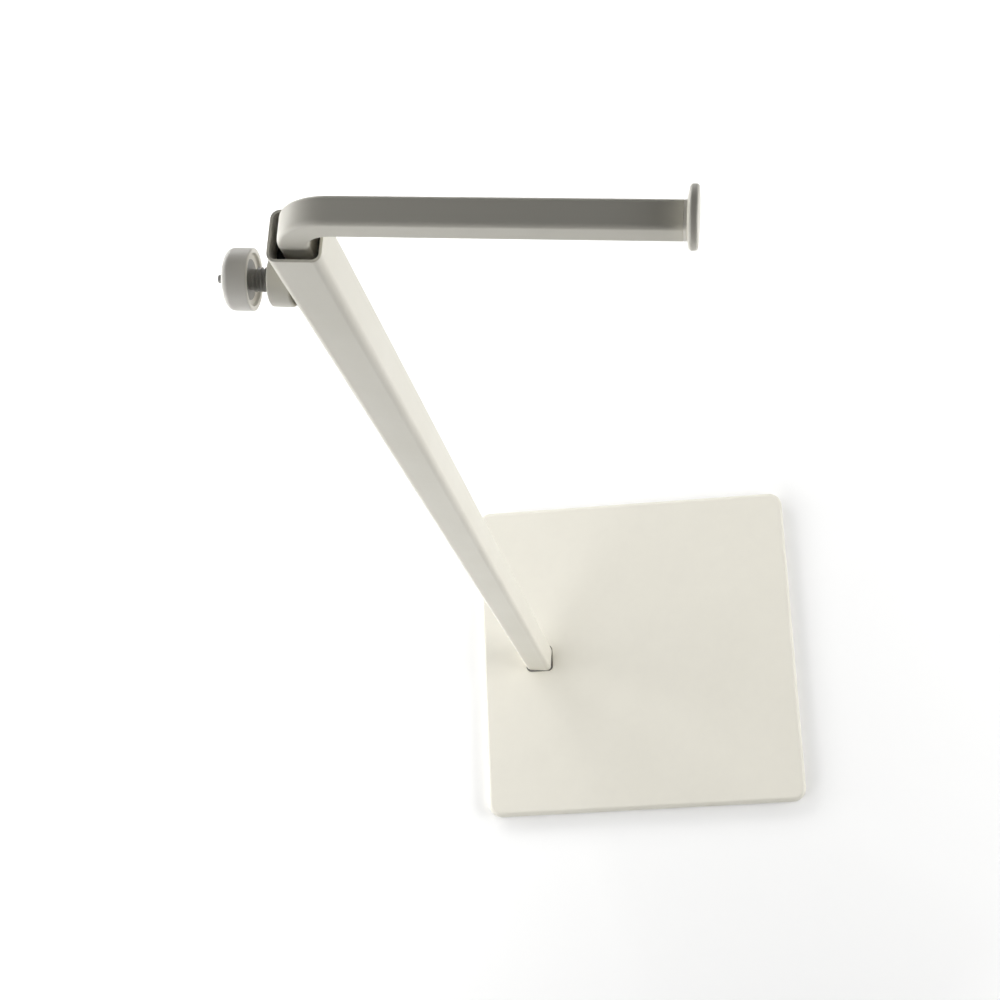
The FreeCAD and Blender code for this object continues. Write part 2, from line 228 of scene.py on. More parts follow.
def cut_with(piece: bpy.types.Object, cutter: bpy.types.Object) -> None:
    """Cut one piece with another and throw the cutter away."""
    apply_modifier(piece, "BOOLEAN", operation="DIFFERENCE", object=cutter, solver="EXACT")
    bpy.data.objects.remove(cutter)


def join_to(piece: bpy.types.Object, part: bpy.types.Object) -> None:
    """Fuse a part with a piece into one closed shell and throw the part away."""
    apply_modifier(piece, "BOOLEAN", operation="UNION", object=part, solver="EXACT")
    bpy.data.objects.remove(part)
    face_outwards(piece)


def soften(piece: bpy.types.Object, radius: float, steps: int = 3, angle: float = 50.0) -> None:
    """Round the sharp edges of a piece.

    Args:
        piece: The piece to change.
        radius: Radius of the rounding.
        steps: Segments of each rounding.
        angle: Least angle in degrees between faces that makes an edge sharp.
    """
    apply_modifier(
        piece,
        "BEVEL",
        width=radius,
        segments=steps,
        limit_method="ANGLE",
        angle_limit=math.radians(angle),
        use_clamp_overlap=True,
    )


def face_outwards(piece: bpy.types.Object) -> None:
    """Merge doubles and turn every face outwards."""
    with editing(piece):
        bpy.ops.mesh.remove_doubles(threshold=CLOSE / 10)
        bpy.ops.mesh.select_all(action="SELECT")
        bpy.ops.mesh.normals_make_consistent(inside=False)


def shade(piece: bpy.types.Object, angle: float = 32.0) -> None:
    """Shade a piece smoothly, with flat faces kept flat beside their rounded edges."""
    make_active(piece)
    bpy.ops.object.shade_smooth_by_angle(angle=math.radians(angle))
    apply_modifier(piece, "WEIGHTED_NORMAL", mode="FACE_AREA", weight=50, keep_sharp=True)


def square_ring(name: str, centre: Vector, side: float, corner: float, steps: int = 8) -> bpy.types.Object:
    """Make a rounded square outline, level, ready to be extruded.

    Args:
        name: The piece's name.
        centre: The outline's centre.
        side: Outer side.
        corner: Corner radius.
        steps: Segments of each corner.

    Returns:
        An object of one closed ring of edges.
    """
    clear_selection()
    bpy.ops.mesh.primitive_plane_add(size=side, location=centre)
    ring = adopt(name)
    with editing(ring):
        bpy.ops.mesh.bevel(offset=corner, offset_type="OFFSET", segments=steps, affect="VERTICES")
        bpy.ops.mesh.delete(type="ONLY_FACE")
    return ring


def square_bar(name: str, centre: Vector, side: float, corner: float, height: float) -> bpy.types.Object:
    """Make a closed rounded square bar that stands on a level centre point.

    Args:
        name: The piece's name.
        centre: Centre of the lower end.
        side: Outer side.
        corner: Corner radius.
        height: The bar's height.

    Returns:
        The closed bar.
    """
    bar = square_ring(name, centre, side, corner)
    with editing(bar, Pick.EDGE):
        bpy.ops.mesh.edge_face_add()
        extrude(UP * height)
    face_outwards(bar)
    return bar


def lay_along(piece: bpy.types.Object, start: Vector, axis: Vector) -> None:
    """Lay a piece, made upright on the origin, along an axis from a start point."""
    piece.matrix_world = Matrix.Translation(start) @ UP.rotation_difference(axis).to_matrix().to_4x4()
    make_active(piece)
    bpy.ops.object.transform_apply(location=True, rotation=True, scale=True)


def drill(name: str, centre: Vector, axis: Vector, radius: float, depth: float = 8 * MM) -> bpy.types.Object:
    """Make a round cutter centred on a wall.

    Args:
        name: The cutter's name.
        centre: Its middle.
        axis: Unit direction of its axis.
        radius: Its radius.
        depth: Its length.

    Returns:
        The cutter.
    """
    clear_selection()
    turn = UP.rotation_difference(axis).to_euler()
    bpy.ops.mesh.primitive_cylinder_add(vertices=48, radius=radius, depth=depth, location=centre, rotation=turn)
    return adopt(name)


def arc(centre: tuple[float, float], radius: float, start: float, end: float, steps: int = 6) -> Profile:
    """Points of a round stretch of a turned profile.

    Args:
        centre: Centre as (radius from the axis, distance along it).
        radius: Radius of the round stretch.
        start: First angle in degrees, 0 away from the axis and 90 along it.
        end: Last angle in degrees.
        steps: Segments.

    Returns:
        The points from start to end.
    """
    points = []
    for index in range(steps + 1):
        angle = math.radians(start + (end - start) * index / steps)
        points.append((centre[0] + radius * math.cos(angle), centre[1] + radius * math.sin(angle)))
    return points


def crown(radius: float, level: float, rise: float, steps: int = 5) -> Profile:
    """Points of a shallow dome, from its edge inwards to near the axis.

    Args:
        radius: Radius of the dome's edge.
        level: Distance of the edge along the axis.
        rise: Height of the middle over the edge, below zero for a dome that sinks.
        steps: Segments.

    Returns:
        The points inside the edge.
    """
    points = []
    for index in range(1, steps + 1):
        share = 1.0 - index / (steps + 1)
        points.append((radius * share, level + rise * (1.0 - share * share)))
    return points


def first_ring(name: str, start: Vector, axis: Vector, profile: Profile, steps: int) -> bpy.types.Object:
    """Make the first ring of a turned piece.

    Args:
        name: The piece's name.
        start: Zero point on the axis.
        axis: Unit direction of the axis, along X or Z.
        profile: (radius, distance along the axis) of each ring.
        steps: Vertices of each ring.

    Returns:
        An object of one closed ring of edges.
    """
    clear_selection()
    turn = UP.rotation_difference(axis).to_euler()
    radius, along = profile[0]
    bpy.ops.mesh.primitive_circle_add(vertices=steps, radius=radius, location=start + axis * along, rotation=turn)
    return adopt(name)


def draw_rings(start: Vector, axis: Vector, profile: Profile) -> None:
    """Draw what is selected, the first ring of a profile, through all its other rings.

    Args:
        start: Zero point on the axis.
        axis: Unit direction of the axis, along X or Z.
        profile: (radius, distance along the axis) of each ring.
    """
    for (last_radius, last_along), (radius, along) in zip(profile, profile[1:]):
        extrude(axis * (along - last_along))
        ratio = radius / last_radius
        scale_about(start + axis * along, [1.0 if abs(part) > FACING else ratio for part in axis])


def turned_piece(name: str, start: Vector, axis: Vector, profile: Profile, steps: int = 72) -> bpy.types.Object:
    """Turn a piece as on a lathe, ring by ring, and close its ends.

    Args:
        name: The piece's name.
        start: Zero point on the axis.
        axis: Unit direction of the axis, along X or Z.
        profile: (radius, distance along the axis) of each ring; a ring drawn back makes a hollow.
        steps: Vertices of each ring.

    Returns:
        The closed piece.
    """
    piece = first_ring(name, start, axis, profile, steps)
    with editing(piece, Pick.EDGE):
        bpy.ops.mesh.edge_face_add()
        draw_rings(start, axis, profile)
    face_outwards(piece)
    return piece


def ring_piece(name: str, start: Vector, axis: Vector, profile: Profile, steps: int = 72) -> bpy.types.Object:
    """Turn a piece with a bore: its profile is a closed loop clear of the axis.

    Args:
        name: The piece's name.
        start: Zero point on the axis.
        axis: Unit direction of the axis, along X or Z.
        profile: (radius, distance along the axis) of each ring, back round to the first.
        steps: Vertices of each ring.

    Returns:
        The closed piece.
    """
    piece = first_ring(name, start, axis, profile, steps)
    with editing(piece, Pick.EDGE):
        draw_rings(start, axis, profile + profile[:1])
    face_outwards(piece)
    return piece


def finish_piece(piece: bpy.types.Object, finish: "Finish", body: Body, slot: Slot, *nodes: str) -> None:
    """Dress a new piece, hang it on its body and let it stand for its CAD nodes.

    Args:
        piece: The finished mesh.
        finish: The finish it wears, unless it is dressed already.
        body: The CAD body it moves with.
        slot: The record's material slot; not used.
        *nodes: CAD nodes that it replaces.
    """
    if not piece.data.materials:
        piece.data.materials.append(finish.material())
    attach(piece, body.value)
    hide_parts(*nodes)
    LOG.info("%s rides on %s, stands for %s, %d faces", piece.name, body.value, nodes, len(piece.data.polygons))


def dress_node(node: str, finish: "Finish") -> None:
    """Give a carried-over CAD node its finish through its own material slots.

    Args:
        node: The CAD node's name.
        finish: The finish it wears.
    """
    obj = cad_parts[node]
    if not obj.material_slots:
        obj.data.materials.append(finish.material())
    for material_slot in obj.material_slots:
        material_slot.material = finish.material()
    LOG.info("%s keeps its CAD shape, finish %s", node, finish.name)


# --- Shared effects --------------------------------------------------------------------------------

# Each span is the stretch of a noise or an angle that a mask is drawn from; scales are per metre.
PER_METRE = 1000.0
CLOUD_SPAN = (0.35, 0.75)
SPECK_SPAN = (0.70, 0.80)
SPECK_SCALE = 1400.0
EDGE_SPAN = (0.01, 0.18)
EDGE_SAMPLES = 4
WEAR_SPAN = (0.35, 0.62)
WEAR_SCALE = 160.0
DUST_TILT = (0.55, 1.0)
DUST_SPAN = (0.38, 0.75)
DUST_SCALE = 55.0
FINE_RATIO = 4.7
GLOSS_SPAN = (0.3, 0.7)


class Effect:
    """A shader node group under construction, with typed sockets and short ways to add nodes."""

    def __init__(self, name: str) -> None:
        """Start an empty group with its input and output nodes."""
        self.tree = bpy.data.node_groups.new(name, "ShaderNodeTree")
        self.inside = self.tree.nodes.new("NodeGroupInput")
        self.outside = self.tree.nodes.new("NodeGroupOutput")

    def number_in(self, name: str, default: float) -> bpy.types.NodeSocket:
        """Add a number input and return its socket inside the group."""
        socket = self.tree.interface.new_socket(name, in_out="INPUT", socket_type="NodeSocketFloat")
        socket.default_value = default
        return self.inside.outputs[name]

    def colour_in(self, name: str) -> bpy.types.NodeSocket:
        """Add a colour input and return its socket inside the group."""
        self.tree.interface.new_socket(name, in_out="INPUT", socket_type="NodeSocketColor")
        return self.inside.outputs[name]

    def number_out(self, name: str, source: bpy.types.NodeSocket) -> None:
        """Send a number out of the group."""
        self.tree.interface.new_socket(name, in_out="OUTPUT", socket_type="NodeSocketFloat")
        self.tree.links.new(source, self.outside.inputs[name])

    def colour_out(self, name: str, source: bpy.types.NodeSocket) -> None:
        """Send a colour out of the group."""
        self.tree.interface.new_socket(name, in_out="OUTPUT", socket_type="NodeSocketColor")
        self.tree.links.new(source, self.outside.inputs[name])

    def node(self, kind: str, **inputs: object) -> bpy.types.Node:
        """Add a node and set or link its inputs by name.

        Args:
            kind: The node's type.
            **inputs: A value or a socket for each input, with spaces written as underscores.

        Returns:
            The new node.
        """
        return add_node(self.tree, kind, **inputs)

    def maths(self, operation: str, *values: object) -> bpy.types.NodeSocket:
        """Add a Math node and return its result.

        Args:
            operation: The Math node's operation.
            *values: A number or a socket for each input in order.

        Returns:
            The result socket.
        """
        node = self.tree.nodes.new("ShaderNodeMath")
        node.operation = operation
        for index, value in enumerate(values):
            connect(self.tree, node.inputs[index], value)
        return node.outputs[0]

    def ramp(self, value: bpy.types.NodeSocket, low: float, high: float) -> bpy.types.NodeSocket:
        """Stretch a value so that low gives 0 and high gives 1, clamped."""
        node = self.node("ShaderNodeMapRange", Value=value, From_Min=low, From_Max=high)
        node.clamp = True
        return node.outputs["Result"]

    def place(self) -> bpy.types.NodeSocket:
        """Return the piece's own coordinates, in metres."""
        return self.tree.nodes.new("ShaderNodeTexCoord").outputs["Object"]


def connect(tree: bpy.types.NodeTree, socket: bpy.types.NodeSocket, value: object) -> None:
    """Link a socket to another, or set its value.

    Args:
        tree: The node tree.
        socket: The input socket.
        value: A source socket, a number or a colour.
    """
    if isinstance(value, bpy.types.NodeSocket):
        tree.links.new(value, socket)
    else:
        socket.default_value = value


def add_node(tree: bpy.types.NodeTree, kind: str, **inputs: object) -> bpy.types.Node:
    """Add a node to a tree and set or link its inputs by name.

    Args:
        tree: The node tree.
        kind: The node's type.
        **inputs: A value or a socket for each input, with spaces written as underscores.

    Returns:
        The new node.
    """
    node = tree.nodes.new(kind)
    for name, value in inputs.items():
        connect(tree, node.inputs[name.replace("_", " ")], value)
    return node


def mix_colours(tree: bpy.types.NodeTree, factor: object, first: object, second: object) -> bpy.types.NodeSocket:
    """Blend two colours by a factor.

    Args:
        tree: The node tree.
        factor: Share of the second colour, a number or a socket.
        first: Colour at factor 0.
        second: Colour at factor 1.

    Returns:
        The blended colour's socket.
    """
    node = tree.nodes.new("ShaderNodeMix")
    node.data_type = "RGBA"
    connect(tree, node.inputs["Factor"], factor)
    connect(tree, node.inputs[6], first)
    connect(tree, node.inputs[7], second)
    return node.outputs[2]


def mottle_effect() -> bpy.types.NodeTree:
    """Build the colour variation that every finish has: soft clouds and fine specks."""
    effect = Effect("mottle")
    base = effect.colour_in("Base")
    tint = effect.colour_in("Tint")
    amount = effect.number_in("Amount", 0.2)
    size = effect.number_in("Size mm", 30.0)
    specks = effect.number_in("Specks", 0.2)
    place = effect.place()
    scale = effect.maths("DIVIDE", PER_METRE, size)
    clouds = effect.node("ShaderNodeTexNoise", Vector=place, Scale=scale, Detail=4.0, Roughness=0.6)
    cloud_mask = effect.maths("MULTIPLY", effect.ramp(clouds.outputs["Fac"], *CLOUD_SPAN), amount)
    fine = effect.node("ShaderNodeTexNoise", Vector=place, Scale=SPECK_SCALE, Detail=1.0, Roughness=0.5)
    speck_mask = effect.maths("MULTIPLY", effect.ramp(fine.outputs["Fac"], *SPECK_SPAN), specks)
    mask = effect.maths("MAXIMUM", cloud_mask, speck_mask)
    mixed = mix_colours(effect.tree, mask, base, tint)
    effect.colour_out("Colour", mixed)
    effect.number_out("Clouds", clouds.outputs["Fac"])
    return effect.tree


def edge_effect() -> bpy.types.NodeTree:
    """Build the edge mask: white where faces meet at an outer edge, broken up by noise."""
    effect = Effect("edge_wear")
    width = effect.number_in("Width mm", 0.6)
    strength = effect.number_in("Strength", 1.0)
    radius = effect.maths("MULTIPLY", width, MM)
    rounded = effect.node("ShaderNodeBevel", Radius=radius)
    rounded.samples = EDGE_SAMPLES
    geometry = effect.node("ShaderNodeNewGeometry")
    dot = effect.tree.nodes.new("ShaderNodeVectorMath")
    dot.operation = "DOT_PRODUCT"
    effect.tree.links.new(rounded.outputs["Normal"], dot.inputs[0])
    effect.tree.links.new(geometry.outputs["Normal"], dot.inputs[1])
    turned_away = effect.maths("SUBTRACT", 1.0, dot.outputs["Value"])
    edge = effect.ramp(turned_away, *EDGE_SPAN)
    patches = effect.node("ShaderNodeTexNoise", Vector=effect.place(), Scale=WEAR_SCALE, Detail=5.0, Roughness=0.65)
    broken = effect.maths("MULTIPLY", edge, effect.ramp(patches.outputs["Fac"], *WEAR_SPAN))
    effect.number_out("Mask", effect.maths("MULTIPLY", broken, strength))
    return effect.tree


def grain_effect() -> bpy.types.NodeTree:
    """Build the surface grain: a height of two noises, one coarse and one fine."""
    effect = Effect("grain")
    size = effect.number_in("Size mm", 1.0)
    fine = effect.number_in("Fine share", 0.3)
    place = effect.place()
    scale = effect.maths("DIVIDE", PER_METRE, size)
    coarse = effect.node("ShaderNodeTexNoise", Vector=place, Scale=scale, Detail=2.0, Roughness=0.45)
    fine_scale = effect.maths("MULTIPLY", scale, FINE_RATIO)
    small = effect.node("ShaderNodeTexNoise", Vector=place, Scale=fine_scale, Detail=2.0, Roughness=0.6)
    small_part = effect.maths("MULTIPLY", small.outputs["Fac"], fine)
    effect.number_out("Height", effect.maths("ADD", coarse.outputs["Fac"], small_part))
    return effect.tree


def dust_effect() -> bpy.types.NodeTree:
    """Build the dust mask: thin, cloudy, and only on faces that look up."""
    effect = Effect("dust")
    amount = effect.number_in("Amount", 0.2)
    geometry = effect.node("ShaderNodeNewGeometry")
    split = effect.node("ShaderNodeSeparateXYZ", Vector=geometry.outputs["Normal"])
    upward = effect.ramp(split.outputs["Z"], *DUST_TILT)
    patches = effect.node("ShaderNodeTexNoise", Vector=effect.place(), Scale=DUST_SCALE, Detail=6.0, Roughness=0.7)
    cloudy = effect.maths("MULTIPLY", upward, effect.ramp(patches.outputs["Fac"], *DUST_SPAN))
    effect.number_out("Mask", effect.maths("MULTIPLY", cloudy, amount))
    return effect.tree


def brushed_effect() -> bpy.types.NodeTree:
    """Build machining marks: noise drawn out along one direction of the piece."""
    effect = Effect("brushed")
    size = effect.number_in("Size mm", 0.35)
    stretch = effect.number_in("Stretch", 18.0)
    split = effect.node("ShaderNodeSeparateXYZ", Vector=effect.place())
    along = effect.maths("DIVIDE", split.outputs["Y"], stretch)
    vector = effect.node("ShaderNodeCombineXYZ", X=split.outputs["X"], Y=along, Z=split.outputs["Z"])
    scale = effect.maths("DIVIDE", PER_METRE, size)
    lines = effect.node("ShaderNodeTexNoise", Vector=vector.outputs["Vector"], Scale=scale, Detail=3.0)
    effect.number_out("Height", lines.outputs["Fac"])
    return effect.tree


class EffectKind(Enum):
    """The shared effects, each built once and used in many finishes."""

    MOTTLE = "mottle"
    EDGE = "edge_wear"
    GRAIN = "grain"
    DUST = "dust"
    BRUSHED = "brushed"


EFFECT_BUILDERS = {
    EffectKind.MOTTLE: mottle_effect,
    EffectKind.EDGE: edge_effect,
    EffectKind.GRAIN: grain_effect,
    EffectKind.DUST: dust_effect,
    EffectKind.BRUSHED: brushed_effect,
}


def use_effect(tree: bpy.types.NodeTree, kind: EffectKind, **inputs: object) -> bpy.types.Node:
    """Place a shared effect in a material, building it the first time.

    Args:
        tree: The material's node tree.
        kind: Which effect.
        **inputs: Values for its inputs, with spaces written as underscores.

    Returns:
        The group node.
    """
    group = bpy.data.node_groups.get(kind.value) or EFFECT_BUILDERS[kind]()
    node = tree.nodes.new("ShaderNodeGroup")
    node.node_tree = group
    for name, value in inputs.items():
        connect(tree, node.inputs[name.replace("_", " ")], value)
    return node


# --- Finishes --------------------------------------------------------------------------------------


@dataclass(frozen=True)
class Finish:
    """A surface finish: its colour, gloss and grain, and how it varies and wears.

    Attributes:
        name: The material's name.
        colour: Main colour, linear.
        tint: Colour that clouds and specks lean to.
        worn: Colour that shows at worn edges.
        roughness: Main roughness.
        roughness_play: How far clouds move the roughness.
        metallic: 1 for bare metal.
        grain_size: Size of the grain in millimetres.
        grain_depth: Height of the grain in millimetres.
        fine_share: Share of the fine grain.
        cloud_size: Size of the colour clouds in millimetres.
        cloud_amount: Strength of the colour clouds.
        specks: Strength of fine specks.
        wear: Strength of edge wear.
        wear_width: Width of edge wear in millimetres.
        dust: Strength of dust on upward faces.
        brushed: Whether the grain is drawn out into machining marks.
    """

    name: str
    colour: tuple[float, float, float]
    tint: tuple[float, float, float]
    worn: tuple[float, float, float]
    roughness: float
    roughness_play: float = 0.08
    metallic: float = 0.0
    grain_size: float = 1.0
    grain_depth: float = 0.02
    fine_share: float = 0.3
    cloud_size: float = 30.0
    cloud_amount: float = 0.3
    specks: float = 0.1
    wear: float = 0.5
    wear_width: float = 0.5
    dust: float = 0.15
    brushed: bool = False

    def material(self) -> bpy.types.Material:
        """Return the finish's material, building it the first time."""
        return bpy.data.materials.get(self.name) or self.build()

    def build(self) -> bpy.types.Material:
        """Build the material from the shared effects."""
        material = bpy.data.materials.new(self.name)
        material.use_nodes = True
        tree = material.node_tree
        shader = tree.nodes["Principled BSDF"]
        shader.inputs["Metallic"].default_value = self.metallic
        mottle = use_effect(
            tree,
            EffectKind.MOTTLE,
            Base=(*self.colour, 1.0),
            Tint=(*self.tint, 1.0),
            Amount=self.cloud_amount,
            Size_mm=self.cloud_size,
            Specks=self.specks,
        )
        edge = use_effect(tree, EffectKind.EDGE, Width_mm=self.wear_width, Strength=self.wear)
        dust = use_effect(tree, EffectKind.DUST, Amount=self.dust)
        worn = mix_colours(tree, edge.outputs["Mask"], mottle.outputs["Colour"], (*self.worn, 1.0))
        dusty = mix_colours(tree, dust.outputs["Mask"], worn, (*DUST_COLOUR, 1.0))
        tree.links.new(dusty, shader.inputs["Base Color"])
        self.link_roughness(tree, shader, mottle, dust)
        self.link_bump(tree, shader)
        return material

    def link_roughness(
        self, tree: bpy.types.NodeTree, shader: bpy.types.Node, mottle: bpy.types.Node, dust: bpy.types.Node
    ) -> None:
        """Drive the roughness from the clouds and the dust.

        Args:
            tree: The material's node tree.
            shader: Its Principled BSDF.
            mottle: The placed mottle effect.
            dust: The placed dust effect.
        """
        spread = add_node(
            tree,
            "ShaderNodeMapRange",
            Value=mottle.outputs["Clouds"],
            From_Min=GLOSS_SPAN[0],
            From_Max=GLOSS_SPAN[1],
            To_Min=self.roughness - self.roughness_play,
            To_Max=self.roughness + self.roughness_play,
        )
        total = tree.nodes.new("ShaderNodeMath")
        total.operation = "ADD"
        total.use_clamp = True
        tree.links.new(spread.outputs["Result"], total.inputs[0])
        tree.links.new(dust.outputs["Mask"], total.inputs[1])
        tree.links.new(total.outputs[0], shader.inputs["Roughness"])

    def link_bump(self, tree: bpy.types.NodeTree, shader: bpy.types.Node) -> None:
        """Drive the normal from the grain or the machining marks.

        Args:
            tree: The material's node tree.
            shader: Its Principled BSDF.
        """
        if self.brushed:
            grain = use_effect(tree, EffectKind.BRUSHED, Size_mm=self.grain_size)
        else:
            grain = use_effect(tree, EffectKind.GRAIN, Size_mm=self.grain_size, Fine_share=self.fine_share)
        bump = add_node(tree, "ShaderNodeBump", Height=grain.outputs["Height"], Strength=1.0)
        bump.inputs["Distance"].default_value = self.grain_depth * MM
        tree.links.new(bump.outputs["Normal"], shader.inputs["Normal"])


DUST_COLOUR = (0.62, 0.59, 0.54)

POWDER_COAT = Finish(
    name="warm_white_powder_coat",
    colour=(0.805, 0.78, 0.692),
    tint=(0.745, 0.72, 0.63),
    worn=(0.60, 0.57, 0.50),
    roughness=0.46,
    roughness_play=0.05,
    grain_size=1.1,
    grain_depth=0.007,
    cloud_size=45.0,
    cloud_amount=0.35,
    specks=0.25,
    wear=0.35,
    wear_width=0.5,
    dust=0.10,
)
KNOB_PLASTIC = Finish(
    name="warm_white_moulded_plastic",
    colour=(0.835, 0.81, 0.750),
    tint=(0.775, 0.75, 0.690),
    worn=(0.58, 0.555, 0.505),
    roughness=0.40,
    roughness_play=0.06,
    grain_size=0.35,
    grain_depth=0.006,
    cloud_size=9.0,
    cloud_amount=0.4,
    wear=0.45,
    wear_width=0.4,
    dust=0.08,
)
WHITE_NYLON = Finish(
    name="natural_nylon",
    colour=(0.86, 0.84, 0.79),
    tint=(0.80, 0.77, 0.70),
    worn=(0.70, 0.67, 0.60),
    roughness=0.38,
    grain_size=0.5,
    grain_depth=0.004,
    cloud_size=6.0,
)
BLACK_NYLON = Finish(
    name="black_nylon",
    colour=(0.020, 0.020, 0.021),
    tint=(0.035, 0.035, 0.036),
    worn=(0.060, 0.060, 0.060),
    roughness=0.48,
    grain_size=0.4,
    grain_depth=0.006,
    cloud_size=8.0,
)
PHOSPHATED_STEEL = Finish(
    name="grey_phosphated_steel",
    colour=(0.400, 0.395, 0.385),
    tint=(0.310, 0.305, 0.290),
    worn=(0.48, 0.475, 0.465),
    roughness=0.48,
    roughness_play=0.12,
    metallic=0.25,
    grain_size=0.3,
    grain_depth=0.004,
    cloud_size=4.0,
    wear=0.7,
    wear_width=0.2,
    dust=0.05,
)
ZINC_STEEL = Finish(
    name="zinc_plated_steel",
    colour=(0.56, 0.57, 0.58),
    tint=(0.48, 0.47, 0.43),
    worn=(0.70, 0.70, 0.70),
    roughness=0.34,
    roughness_play=0.10,
    metallic=1.0,
    grain_size=0.4,
    grain_depth=0.004,
    cloud_size=5.0,
    wear=0.5,
    wear_width=0.25,
    dust=0.05,
)
# Inner walls of the tubes and the cover: partly a thinner coat, partly painted shade, its colour darkened further to
# stand in for the shade inside the post's mouth and the tubes' bores, where little light reaches.
INNER_COAT_AND_PAINTED_SHADE = Finish(
    name="thin_inner_coat_and_painted_shade",
    colour=(0.58, 0.565, 0.515),
    tint=(0.44, 0.425, 0.385),
    worn=(0.50, 0.49, 0.47),
    roughness=0.58,
    roughness_play=0.10,
    grain_size=0.6,
    grain_depth=0.008,
    cloud_size=12.0,
    cloud_amount=0.5,
    wear=0.3,
    dust=0.05,
)
PLAIN_STEEL = Finish(
    name="plain_oiled_steel",
    colour=(0.33, 0.33, 0.335),
    tint=(0.22, 0.19, 0.16),
    worn=(0.50, 0.50, 0.50),
    roughness=0.44,
    roughness_play=0.12,
    metallic=1.0,
    grain_size=0.35,
    grain_depth=0.006,
    cloud_size=25.0,
    cloud_amount=0.5,
    wear=0.6,
    dust=0.05,
    brushed=True,
)
RUBBER = Finish(
    name="black_rubber",
    colour=(0.022, 0.022, 0.023),
    tint=(0.045, 0.044, 0.042),
    worn=(0.075, 0.073, 0.070),
    roughness=0.82,
    grain_size=0.6,
    grain_depth=0.02,
    fine_share=0.6,
    cloud_size=20.0,
    cloud_amount=0.5,
    wear=0.6,
    dust=0.1,
)


# --- Sub-assemblies --------------------------------------------------------------------------------


def post_centre(height: float = 0.0) -> Vector:
    """Return the point of the post's axis at a height."""
    low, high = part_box("post_tube")
    return Vector(((low.x + high.x) / 2, (low.y + high.y) / 2, height))


